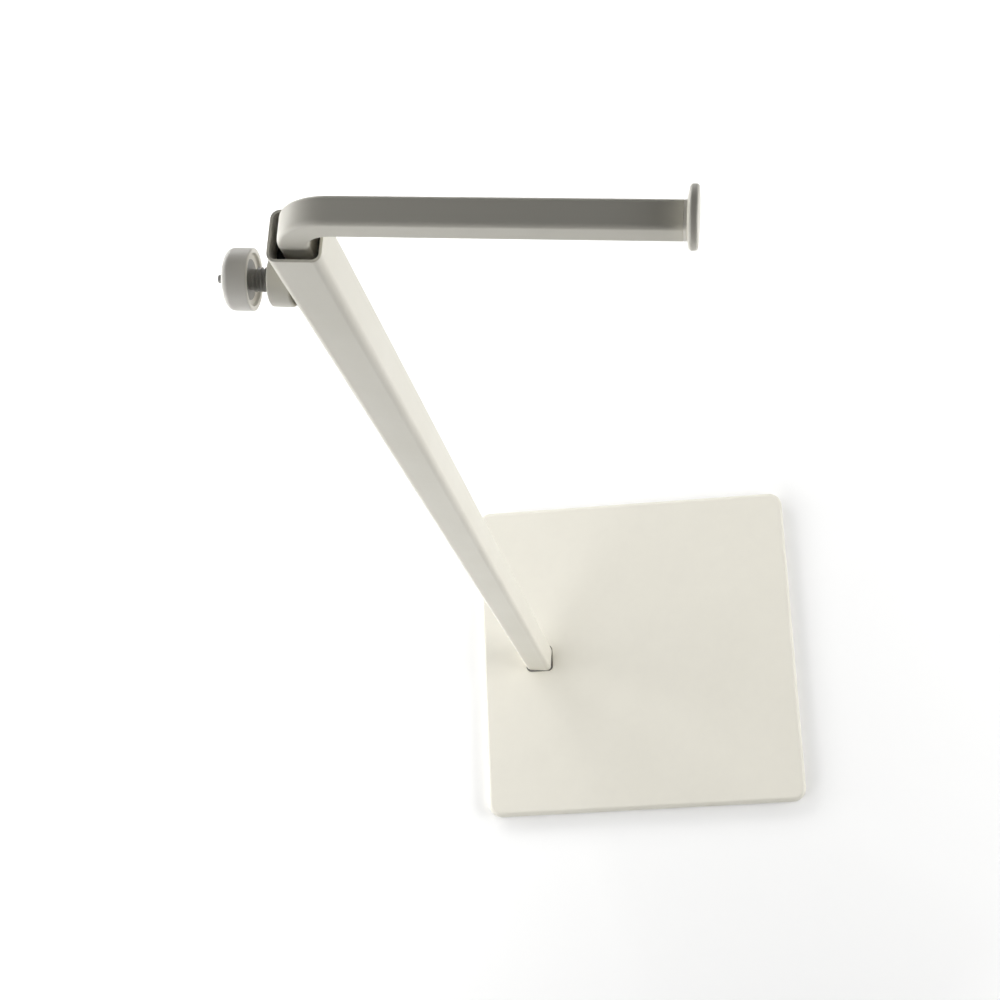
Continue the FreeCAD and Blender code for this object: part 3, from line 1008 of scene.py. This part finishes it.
@dataclass
class Base:
    """Weighted base: drawn cover over a steel slab, with a treaded rubber sheet under it.

    Attributes:
        side: Side of the square cover, a hundredth of a millimetre under its CAD node's.
        corner: Corner radius of the cover.
        edge: Radius of the rolled top edge.
        wall: Sheet thickness of the cover.
        hem: Width of the hem turned in under the slab.
        twist: Angle of the base to the arm.
        seat_side: Side of the square hole that the post stands in.
        seat_corner: Corner radius of that hole.
        seat_lip: Rounding of the hole's lip.
        hem_gap: Gap between the hem and the rubber sheet.
        sheet_corner: Corner radius of the rubber sheet.
        access: Radius of the screw access hole in the sheet.
        tread_cells: Tread cells along each side of the sheet.
        tread_rib: Width of the ribs between the cells.
        tread_slope: Width of the slope at each cell's edge.
        tread_depth: Depth of the cells.
    """

    side: float = 219.99 * MM
    corner: float = 9.0 * MM
    edge: float = 3.0 * MM
    wall: float = 1.0 * MM
    hem: float = 5.0 * MM
    twist: float = math.radians(6.3)
    seat_side: float = 18.8 * MM
    seat_corner: float = 3.6 * MM
    seat_lip: float = 0.42 * MM
    hem_gap: float = 0.6 * MM
    sheet_corner: float = 3.0 * MM
    access: float = 11.0 * MM
    tread_cells: int = 26
    tread_rib: float = 0.7 * MM
    tread_slope: float = 0.28 * MM
    tread_depth: float = 0.5 * MM

    def turn(self, piece: bpy.types.Object) -> None:
        """Turn a piece, made square to the axes, to the base's own direction."""
        piece.matrix_world = Matrix.Rotation(self.twist, 4, "Z")
        make_active(piece)
        bpy.ops.object.transform_apply(location=True, rotation=True, scale=True)

    def seat_centre(self, height: float) -> Vector:
        """Return the post's axis at a height, as seen along the base's own edges."""
        return Matrix.Rotation(-self.twist, 3, "Z") @ post_centre(height)

    def cover(self) -> bpy.types.Object:
        """Draw the cover: skirt, rolled edge, hem, wall and seat hole."""
        low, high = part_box("base_cover")
        cover = square_ring("cover_shell", Vector((0, 0, low.z)), self.side, self.corner, steps=12)
        inside = 1.0 - 2 * (self.wall + self.hem) / self.side
        with editing(cover, Pick.EDGE):
            extrude(UP * (high.z - low.z))
            bpy.ops.mesh.edge_face_add()
            pick(cover, Pick.EDGE, lambda middle, run: abs(middle.z - high.z) < CLOSE)
            bpy.ops.mesh.bevel(offset=self.edge, segments=8, affect="EDGES")
            pick(cover, Pick.EDGE, lambda middle, run: abs(middle.z - low.z) < CLOSE)
            extrude(Vector())
            scale_about(Vector((0, 0, low.z)), (inside, inside, 1.0))
        face_outwards(cover)
        thicken(cover, self.wall, POWDER_COAT, INNER_COAT_AND_PAINTED_SHADE)
        seat = self.seat_centre(high.z - 2 * self.wall)
        cut_with(cover, square_bar("seat_cutter", seat, self.seat_side, self.seat_corner, 4 * self.wall))
        face_outwards(cover)
        soften(cover, self.seat_lip)
        self.turn(cover)
        shade(cover)
        return cover

    def sheet(self) -> bpy.types.Object:
        """Mould the rubber sheet, its underside a tread of square cells."""
        low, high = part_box("anti_slip_sheet")
        side = self.side - 2 * (self.wall + self.hem + self.hem_gap)
        cell = side / self.tread_cells
        sheet = square_bar("tread_sheet", Vector((0, 0, low.z)), side, self.sheet_corner, high.z - low.z)
        with editing(sheet, Pick.FACE):
            for index in range(1, self.tread_cells):
                for line in (RIGHT, BACK):
                    pick(sheet, Pick.FACE, lambda middle, normal: normal.z < -FACING)
                    bpy.ops.mesh.bisect(plane_co=line * (index * cell - side / 2), plane_no=line)
            pick(sheet, Pick.FACE, lambda middle, normal: normal.z < -FACING and self.clear_of_hole(middle))
            bpy.ops.mesh.inset(thickness=self.tread_rib, depth=0.0, use_individual=True)
            bpy.ops.mesh.inset(thickness=self.tread_slope, depth=-self.tread_depth, use_individual=True)
        face_outwards(sheet)
        self.cut_access(sheet, low.z, high.z)
        self.turn(sheet)
        shade(sheet)
        return sheet

    def clear_of_hole(self, middle: Vector) -> bool:
        """Tell whether a tread cell keeps clear of the access hole."""
        hole = self.seat_centre(0.0)
        cell = self.side / self.tread_cells
        return (Vector((middle.x, middle.y)) - hole.xy).length > self.access + cell

    def cut_access(self, sheet: bpy.types.Object, low: float, high: float) -> None:
        """Cut the screw access hole through the sheet.

        Args:
            sheet: The rubber sheet, square to the axes.
            low: Height of its underside.
            high: Height of its top.
        """
        cut_with(sheet, drill("access_drill", self.seat_centre((low + high) / 2), UP, self.access))
        face_outwards(sheet)

    def build(self) -> None:
        """Build and dress every piece of the base."""
        finish_piece(self.cover(), POWDER_COAT, Body.STAND, Slot.POWDER_COAT, "base_cover")
        finish_piece(self.sheet(), RUBBER, Body.STAND, Slot.RUBBER_SHEET, "anti_slip_sheet")
        dress_node("base_weight", PLAIN_STEEL)
        dress_node("base_screw", ZINC_STEEL)


@dataclass
class Post:
    """Square post with its foot block, rivets, guide bush and clamp boss.

    Attributes:
        corner: Corner radius of the tube.
        wall: Wall thickness.
        rim: Rounding of the cut ends.
        boss_edge: Rounding of the boss's outer edge.
        boss_bore: Radius of the boss's bore.
        boss_mouth: Chamfer at the mouth of the bore.
        spigot: Radius of the boss's spigot in the post's wall.
        play: Play between the spigot and its hole.
        rivet_hole: Radius of the rivet holes.
    """

    corner: float = 3.0 * MM
    wall: float = 1.0 * MM
    rim: float = 0.22 * MM
    boss_edge: float = 0.7 * MM
    boss_bore: float = 4.05 * MM
    boss_mouth: float = 0.5 * MM
    spigot: float = 5.4 * MM
    play: float = 0.05 * MM
    rivet_hole: float = 1.65 * MM

    def tube(self) -> bpy.types.Object:
        """Draw the square tube and drill it for the boss and the rivets."""
        low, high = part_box("post_tube")
        tube = square_ring("post_shell", post_centre(low.z), high.x - low.x, self.corner)
        with editing(tube, Pick.EDGE):
            extrude(UP * (high.z - low.z))
        face_outwards(tube)
        thicken(tube, self.wall, POWDER_COAT, INNER_COAT_AND_PAINTED_SHADE)
        boss_low, boss_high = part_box("clamp_boss")
        boss_hole = Vector((low.x, post_centre().y, (boss_low.z + boss_high.z) / 2))
        cut_with(tube, drill("boss_drill", boss_hole, RIGHT, self.spigot + self.play))
        rivets_low, rivets_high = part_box("block_rivets")
        head = (rivets_high.x - rivets_low.x) / 2
        for height in (rivets_low.z + head, rivets_high.z - head):
            rivet_hole = Vector((post_centre().x, high.y, height))
            cut_with(tube, drill("rivet_drill", rivet_hole, BACK, self.rivet_hole))
        face_outwards(tube)
        soften(tube, self.rim)
        shade(tube)
        return tube

    def boss(self) -> bpy.types.Object:
        """Turn the boss with its rounded edge, chamfered bore and spigot."""
        low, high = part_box("clamp_boss")
        radius = (high.z - low.z) / 2
        face = post_centre().x - low.x
        root = post_centre().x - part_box("post_tube")[0].x
        tip = post_centre().x - high.x
        bore = self.boss_bore
        start = post_centre((low.z + high.z) / 2)
        profile = [(bore, tip), (self.spigot, tip), (self.spigot, root), (radius - self.boss_edge, root)]
        profile += arc((radius - self.boss_edge, root + self.boss_edge), self.boss_edge, -90, 0)
        profile += arc((radius - self.boss_edge, face - self.boss_edge), self.boss_edge, 0, 90)
        profile += [(bore + self.boss_mouth, face), (bore, face - self.boss_mouth)]
        boss = ring_piece("boss_collar", start, -RIGHT, profile)
        shade(boss)
        return boss

    def build(self) -> None:
        """Build and dress every piece of the post."""
        finish_piece(self.tube(), POWDER_COAT, Body.STAND, Slot.POWDER_COAT, "post_tube")
        finish_piece(self.boss(), POWDER_COAT, Body.STAND, Slot.POWDER_COAT, "clamp_boss")
        dress_node("foot_block", PLAIN_STEEL)
        dress_node("block_rivets", ZINC_STEEL)
        dress_node("guide_bush", BLACK_NYLON)


@dataclass
class Clamp:
    """Clamp: threaded stud, round knob with a recessed back, insert and nylon pad.

    Attributes:
        edge: Rounding of the knob's front edge.
        dome: Rise of the knob's front.
        rim: Rounding of the knob's back rim.
        recess: Radius of the recess in the knob's back.
        recess_depth: Depth of that recess.
        recess_fillet: Rounding at the recess's floor.
        insert_hole: Radius of the pocket for the insert.
        pip_hole: Radius of the hole for the stud's pip.
        dome_end: Radius inside which the dome gives way to the hole's mouth.
        mouth: Width of the chamfer at the hole's mouth.
        mouth_top: Height of the chamfer's outer edge over the dome's edge.
        mouth_foot: Height of the chamfer's inner edge over the dome's edge.
        pip: Radius of the stud's pip.
        pip_round: Rounding of the pip's end.
        pitch: Pitch of the stud's thread.
        thread_depth: Depth of the thread.
        thread_bite: How far the ridge of the thread reaches into the core.
        thread_root: Width of the ridge at its root, as a share of the pitch.
        thread_crest: Width of the ridge at its crest, as a share of the pitch.
        thread_steps: Segments of each turn of the thread.
        socket: Radius of the socket for the pad's pin.
        socket_depth: Depth of that socket.
    """

    edge: float = 2.6 * MM
    dome: float = 0.8 * MM
    rim: float = 0.45 * MM
    recess: float = 8.3 * MM
    recess_depth: float = 1.3 * MM
    recess_fillet: float = 0.5 * MM
    insert_hole: float = 6.45 * MM
    pip_hole: float = 1.5 * MM
    dome_end: float = 1.95 * MM
    mouth: float = 0.15 * MM
    mouth_top: float = 0.76 * MM
    mouth_foot: float = 0.56 * MM
    pip: float = 1.4 * MM
    pip_round: float = 0.35 * MM
    pitch: float = 1.25 * MM
    thread_depth: float = 0.70 * MM
    thread_bite: float = 0.12 * MM
    thread_root: float = 0.80
    thread_crest: float = 0.14
    thread_steps: int = 40
    socket: float = 1.25 * MM
    socket_depth: float = 2.6 * MM
    start: Vector = field(init=False)

    def __post_init__(self) -> None:
        """Place the clamp's zero point on the post's axis at the height of the stud."""
        low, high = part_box("clamp_screw")
        self.start = post_centre((low.z + high.z) / 2)

    def along(self, x: float) -> float:
        """Return the distance from the post's axis of a plane at x."""
        return self.start.x - x

    def knob(self) -> bpy.types.Object:
        """Turn the knob: rim, side, rounded edge, domed front, pip hole, pocket and recess."""
        low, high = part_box("knob_body")
        insert_low, insert_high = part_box("knob_insert")
        radius = (high.z - low.z) / 2
        back = self.along(high.x)
        front = self.along(low.x) - self.dome
        pocket_end = self.along(insert_low.x)
        floor = self.along(insert_high.x)
        flat = radius - self.edge
        profile = arc((radius - self.rim, back + self.rim), self.rim, -90, 0, steps=4)
        profile += arc((flat, front - self.edge), self.edge, 0, 90, steps=10)
        profile += [point for point in crown(flat, front, self.dome, steps=6) if point[0] > self.dome_end]
        profile += [(self.pip_hole + self.mouth, front + self.mouth_top), (self.pip_hole, front + self.mouth_foot)]
        profile += [(self.pip_hole, pocket_end), (self.insert_hole, pocket_end), (self.insert_hole, floor)]
        profile += [(self.recess - self.recess_fillet, floor)]
        profile += arc((self.recess - self.recess_fillet, floor - self.recess_fillet), self.recess_fillet, 90, 0, 4)
        profile += arc((self.recess + self.rim, back + self.rim), self.rim, 180, 270, steps=4)
        knob = ring_piece("knob_grip", self.start, -RIGHT, profile, steps=96)
        shade(knob)
        return knob

    def stud(self) -> bpy.types.Object:
        """Turn the stud with its plain shank and its pip, and wind the thread round its core."""
        low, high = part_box("clamp_screw")
        radius = (high.z - low.z) / 2
        tip = self.along(high.x)
        end = self.along(low.x)
        shank = self.along(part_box("knob_body")[1].x) + self.recess_depth
        shoulder = self.along(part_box("knob_insert")[0].x)
        root = radius - self.thread_depth
        profile = [(self.socket, tip + self.socket_depth), (self.socket, tip), (root, tip), (root, shank)]
        profile += [(radius, shank), (radius, shoulder), (self.pip, shoulder), (self.pip, end - self.pip_round)]
        profile += arc((self.pip - self.pip_round, end - self.pip_round), self.pip_round, 0, 90, steps=4)
        stud = turned_piece("threaded_stud", self.start, -RIGHT, profile, steps=64)
        turns = int((shank - tip) / self.pitch) - 1
        ridge = self.thread(radius, turns)
        lay_along(ridge, self.start - RIGHT * (tip + self.pitch / 2), -RIGHT)
        join_to(stud, ridge)
        shade(stud)
        return stud

    def thread(self, radius: float, turns: int) -> bpy.types.Object:
        """Wind the ridge of the thread as one closed helical bar.

        Args:
            radius: Outer radius of the thread.
            turns: Whole turns.

        Returns:
            The ridge, upright, its first turn starting at the origin's height.
        """
        height = self.thread_depth + self.thread_bite
        clear_selection()
        bpy.ops.mesh.primitive_plane_add(
            size=1.0, location=(radius - height / 2, 0, 0), rotation=(math.radians(90), 0, 0)
        )
        ridge = adopt("thread_ridge")
        with editing(ridge):
            scale_about(Vector((radius - height / 2, 0, 0)), (height, 1.0, self.thread_root * self.pitch))
            pick(ridge, Pick.VERT, lambda middle, normal: middle.x > radius - CLOSE)
            scale_about(Vector((radius, 0, 0)), (1.0, 1.0, self.thread_crest / self.thread_root))
            bpy.ops.mesh.select_all(action="SELECT")
            bpy.ops.mesh.delete(type="ONLY_FACE")
        apply_modifier(ridge, "SCREW", axis="Z", screw_offset=self.pitch, iterations=turns, steps=self.thread_steps)
        with editing(ridge, Pick.EDGE):
            for level in (0.0, turns * self.pitch):
                pick(ridge, Pick.EDGE, lambda middle, run: self.on_end(middle, run, level))
                bpy.ops.mesh.edge_face_add()
        face_outwards(ridge)
        return ridge

    def on_end(self, middle: Vector, run: Vector, level: float) -> bool:
        """Tell whether an edge of the ridge bounds its end at a height."""
        return abs(middle.y) < CLOSE and abs(run.y) < ACROSS and abs(middle.z - level) < self.pitch / 2

    def build(self) -> None:
        """Build and dress every piece of the clamp."""
        finish_piece(self.knob(), KNOB_PLASTIC, Body.KNOB, Slot.KNOB_PLASTIC, "knob_body")
        finish_piece(self.stud(), PHOSPHATED_STEEL, Body.KNOB, Slot.BLACK_STEEL, "clamp_screw")
        dress_node("knob_insert", PHOSPHATED_STEEL)
        dress_node("pressure_pad", WHITE_NYLON)


@dataclass
class RollArm:
    """Roll arm: bent square tube with slider, end insert, washer and retaining disc.

    Attributes:
        side: Side of the tube.
        corner: Corner radius of the tube.
        wall: Wall thickness.
        bend_steps: Segments of the quarter bend.
        bend_inner: Inner radius of the bend.
        cut: Rounding of the cut ends.
        washer_round: Rounding of the washer's edges.
        disc_foot: Radius of the flat on the disc's inner face, where the dome starts.
        disc_edge: Rounding of the disc's rim.
        disc_dome: Rise of the disc's inner face.
        disc_crown: Rise of the disc's outer face.
        stud: Radius of the disc's stud.
        stud_chamfer: Chamfer at the stud's end.
    """

    side: float = 9.5 * MM
    corner: float = 1.5 * MM
    wall: float = 1.0 * MM
    bend_steps: int = 24
    bend_inner: float = 8.5 * MM
    cut: float = 0.18 * MM
    washer_round: float = 0.3 * MM
    disc_foot: float = 5.89 * MM
    disc_edge: float = 1.0 * MM
    disc_dome: float = 0.5 * MM
    disc_crown: float = 0.25 * MM
    stud: float = 2.5 * MM
    stud_chamfer: float = 0.5 * MM

    def tube(self) -> bpy.types.Object:
        """Bend the tube: leg, quarter bend and arm drawn from one outline."""
        low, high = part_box("arm_tube")
        axis_height = high.z - self.side / 2
        bend = self.bend_inner + self.side / 2
        leg_top = axis_height - bend
        centre = post_centre(low.z)
        tube = square_ring("arm_shell", centre, self.side, self.corner)
        with editing(tube, Pick.EDGE):
            extrude(UP * (leg_top - low.z))
            bpy.ops.mesh.spin(
                steps=self.bend_steps,
                angle=math.radians(-90),
                center=(centre.x + bend, centre.y, leg_top),
                axis=(0, 1, 0),
            )
            pick(tube, Pick.EDGE, lambda middle, run: abs(middle.x - centre.x - bend) < CLOSE and abs(run.x) < ACROSS)
            extrude(RIGHT * (high.x - centre.x - bend))
        face_outwards(tube)
        thicken(tube, self.wall, POWDER_COAT, INNER_COAT_AND_PAINTED_SHADE)
        soften(tube, self.cut, steps=2, angle=60.0)
        shade(tube, angle=28.0)
        return tube

    def washer(self) -> bpy.types.Object:
        """Mould the square washer between the cut end and the disc."""
        low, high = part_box("end_washer")
        start = Vector((low.x, (low.y + high.y) / 2, (low.z + high.z) / 2))
        washer = square_ring("washer_pad", Vector(), high.y - low.y, self.corner)
        with editing(washer, Pick.EDGE):
            extrude(UP * (high.x - low.x))
            for level in (0.0, high.x - low.x):
                pick(washer, Pick.EDGE, lambda middle, run: abs(middle.z - level) < CLOSE)
                bpy.ops.mesh.edge_face_add()
        face_outwards(washer)
        cut_with(washer, drill("stud_drill", Vector(), UP, self.stud))
        soften(washer, self.washer_round)
        lay_along(washer, start, RIGHT)
        face_outwards(washer)
        shade(washer)
        return washer

    def disc(self) -> bpy.types.Object:
        """Turn the raised disc, its domed inner face and crowned outer face, and set its stud."""
        low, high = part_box("end_disc")
        radius = (high.y - low.y) / 2
        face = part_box("end_washer")[1].x
        centre = Vector((face, (low.y + high.y) / 2, high.z - radius))
        outer = high.x - face - self.disc_crown
        profile = [(self.disc_foot, 0.0)]
        profile += arc((radius - self.disc_edge, self.disc_dome + self.disc_edge), self.disc_edge, -90, 0)
        profile += arc((radius - self.disc_edge, outer - self.disc_edge), self.disc_edge, 0, 90)
        profile += crown(radius - self.disc_edge, outer, self.disc_crown)
        disc = turned_piece("retaining_disc", centre, RIGHT, profile, steps=96)
        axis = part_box("end_washer")
        root = Vector((low.x, centre.y, (axis[0].z + axis[1].z) / 2))
        length = face - low.x
        point = self.stud - self.stud_chamfer
        thread = [(point, 0.0), (self.stud, self.stud_chamfer), (self.stud, length + self.disc_dome)]
        join_to(disc, turned_piece("disc_stud", root, RIGHT, thread, steps=48))
        shade(disc)
        return disc

    def build(self) -> None:
        """Build and dress every piece of the arm."""
        finish_piece(self.tube(), POWDER_COAT, Body.ARM, Slot.POWDER_COAT, "arm_tube")
        finish_piece(self.washer(), WHITE_NYLON, Body.ARM, Slot.WHITE_NYLON, "end_washer")
        finish_piece(self.disc(), POWDER_COAT, Body.ARM, Slot.POWDER_COAT, "end_disc")
        dress_node("leg_slider", BLACK_NYLON)
        dress_node("slider_screw", ZINC_STEEL)
        dress_node("end_insert", PLAIN_STEEL)


# --- Studio ----------------------------------------------------------------------------------------


@dataclass(frozen=True)
class Panel:
    """Soft light panel that stands on a circle round the object.

    Attributes:
        name: The light's name.
        azimuth: Direction from the middle in degrees, 0 along +X.
        distance: Distance from the middle.
        height: Height of its centre.
        aim_height: Height of the point on the vertical axis that it faces.
        size: Its width and height.
        power: Its power in watts.
    """

    name: str
    azimuth: float
    distance: float
    height: float
    aim_height: float
    size: tuple[float, float]
    power: float

    def build(self) -> None:
        """Hang the panel and face it to its aim."""
        light = bpy.data.lights.new(self.name, "AREA")
        light.shape = "RECTANGLE"
        light.size, light.size_y = self.size
        light.energy = self.power
        lamp = bpy.data.objects.new(self.name, light)
        angle = math.radians(self.azimuth)
        place = Vector((math.cos(angle), math.sin(angle), 0.0)) * self.distance + UP * self.height
        lamp.location = place
        lamp.rotation_euler = (UP * self.aim_height - place).to_track_quat("-Z", "Y").to_euler()
        lamp.visible_camera = False
        bpy.context.scene.collection.objects.link(lamp)


def side_panel(azimuth: float, power: float) -> Panel:
    """Return a panel of the ring that stands below the arm's height."""
    return Panel(
        name=f"side_panel_{azimuth:.0f}",
        azimuth=azimuth,
        distance=0.95,
        height=0.48,
        aim_height=0.15,
        size=(0.70, 0.45),
        power=power,
    )


@dataclass
class Studio:
    """Pale floor, low soft panels, dim surroundings and the camera.

    Attributes:
        floor_side: Side of the floor.
        floor_colour: Colour of the floor.
        floor_glow: Brightness added to the floor as seen directly, near the object and far away.
        glow_reach: Distances from the middle between which that brightness grows.
        floor_roughness: Roughness of the floor.
        surround: Brightness of the surroundings as light.
        backdrop: Brightness of the surroundings as seen directly.
        eye: The camera's place.
        lens: Its focal length in millimetres.
        frame_width: Width of its frame in millimetres.
        nearest: Least distance that it shows.
        tilt: Its turn about X, Y and Z in degrees, Z first.
        shift: Its small sideways and upward shift, as shares of the frame.
    """

    floor_side: float = 8.0
    floor_colour: tuple[float, float, float] = (0.95, 0.95, 0.945)
    floor_glow: tuple[float, float] = (0.06, 0.90)
    glow_reach: tuple[float, float] = (0.30, 1.15)
    floor_roughness: float = 0.9
    surround: tuple[float, float, float] = (0.004, 0.004, 0.004)
    backdrop: tuple[float, float, float] = (0.97, 0.97, 0.97)
    eye: tuple[float, float, float] = (0.06220, -0.20841, 1.15387)
    lens: float = 58.985
    frame_width: float = 36.0
    nearest: float = 0.01
    tilt: tuple[float, float, float] = (13.9862, 7.2886, 2.1186)
    shift: tuple[float, float] = (-0.0200, 0.0424)
    panels: tuple[Panel, ...] = (
        side_panel(0, 6.0),
        side_panel(45, 1.7),
        side_panel(90, 1.9),
        side_panel(135, 5.0),
        side_panel(180, 2.0),
        side_panel(225, 4.4),
        Panel(
            name="low_panel",
            azimuth=180,
            distance=0.80,
            height=0.20,
            aim_height=0.20,
            size=(0.60, 0.30),
            power=2.8,
        ),
        Panel(
            name="high_panel",
            azimuth=0,
            distance=1.80,
            height=1.40,
            aim_height=0.40,
            size=(1.20, 0.80),
            power=7.3,
        ),
        Panel(
            name="near_panel",
            azimuth=187,
            distance=0.55,
            height=0.98,
            aim_height=0.70,
            size=(0.35, 0.25),
            power=1.05,
        ),
        Panel(
            name="overhead_panel",
            azimuth=0,
            distance=0.0,
            height=2.40,
            aim_height=0.0,
            size=(1.5, 1.5),
            power=1.2,
        ),
    )

    def floor(self) -> None:
        """Lay the floor."""
        clear_selection()
        bpy.ops.mesh.primitive_plane_add(size=self.floor_side, location=(0, 0, 0))
        floor = adopt("studio_floor")
        material = bpy.data.materials.new("studio_floor")
        material.use_nodes = True
        shader = material.node_tree.nodes["Principled BSDF"]
        shader.inputs["Base Color"].default_value = (*self.floor_colour, 1.0)
        shader.inputs["Roughness"].default_value = self.floor_roughness
        shader.inputs["Emission Color"].default_value = (1.0, 1.0, 1.0, 1.0)
        self.link_floor_glow(material.node_tree, shader)
        floor.data.materials.append(material)

    def link_floor_glow(self, tree: bpy.types.NodeTree, shader: bpy.types.Node) -> None:
        """Keep the floor pale to the eye out to its edges, without lighting the object.

        Args:
            tree: The floor's node tree.
            shader: Its Principled BSDF.
        """
        place = tree.nodes.new("ShaderNodeTexCoord")
        reach = tree.nodes.new("ShaderNodeVectorMath")
        reach.operation = "LENGTH"
        tree.links.new(place.outputs["Object"], reach.inputs[0])
        glow = add_node(
            tree,
            "ShaderNodeMapRange",
            Value=reach.outputs["Value"],
            From_Min=self.glow_reach[0],
            From_Max=self.glow_reach[1],
            To_Min=self.floor_glow[0],
            To_Max=self.floor_glow[1],
        )
        ray = tree.nodes.new("ShaderNodeLightPath")
        seen = tree.nodes.new("ShaderNodeMath")
        seen.operation = "MULTIPLY"
        tree.links.new(glow.outputs["Result"], seen.inputs[0])
        tree.links.new(ray.outputs["Is Camera Ray"], seen.inputs[1])
        tree.links.new(seen.outputs[0], shader.inputs["Emission Strength"])

    def world(self) -> None:
        """Set the surroundings: dim as light, pale as seen."""
        world = bpy.data.worlds.new("studio")
        world.use_nodes = True
        tree = world.node_tree
        tree.nodes.clear()
        output = tree.nodes.new("ShaderNodeOutputWorld")
        glow = add_node(tree, "ShaderNodeBackground", Color=(*self.surround, 1.0), Strength=1.0)
        seen = add_node(tree, "ShaderNodeBackground", Color=(*self.backdrop, 1.0), Strength=1.0)
        ray = tree.nodes.new("ShaderNodeLightPath")
        mix = tree.nodes.new("ShaderNodeMixShader")
        tree.links.new(ray.outputs["Is Camera Ray"], mix.inputs[0])
        tree.links.new(glow.outputs[0], mix.inputs[1])
        tree.links.new(seen.outputs[0], mix.inputs[2])
        tree.links.new(mix.outputs[0], output.inputs["Surface"])
        bpy.context.scene.world = world

    def camera(self) -> None:
        """Place the camera high over the front right of the stand."""
        data = bpy.data.cameras.new("studio_camera")
        data.lens = self.lens
        data.sensor_width = self.frame_width
        data.shift_x, data.shift_y = self.shift
        data.clip_start = self.nearest
        camera = bpy.data.objects.new("studio_camera", data)
        camera.location = self.eye
        camera.rotation_mode = "ZYX"
        camera.rotation_euler = [math.radians(angle) for angle in self.tilt]
        bpy.context.scene.collection.objects.link(camera)
        bpy.context.scene.camera = camera

    def build(self) -> None:
        """Set up the whole studio."""
        self.floor()
        self.world()
        for panel in self.panels:
            panel.build()
        self.camera()
        bpy.context.scene.view_settings.view_transform = "Standard"


def main() -> None:
    """Build the studio and the sub-assemblies in order."""
    logging.basicConfig(level=logging.INFO, format="%(name)s: %(message)s")
    Studio().build()
    for assembly in (Base(), Post(), Clamp(), RollArm()):
        assembly.build()
        LOG.info("%s is built", type(assembly).__name__)


if __name__ == "__main__":
    main()
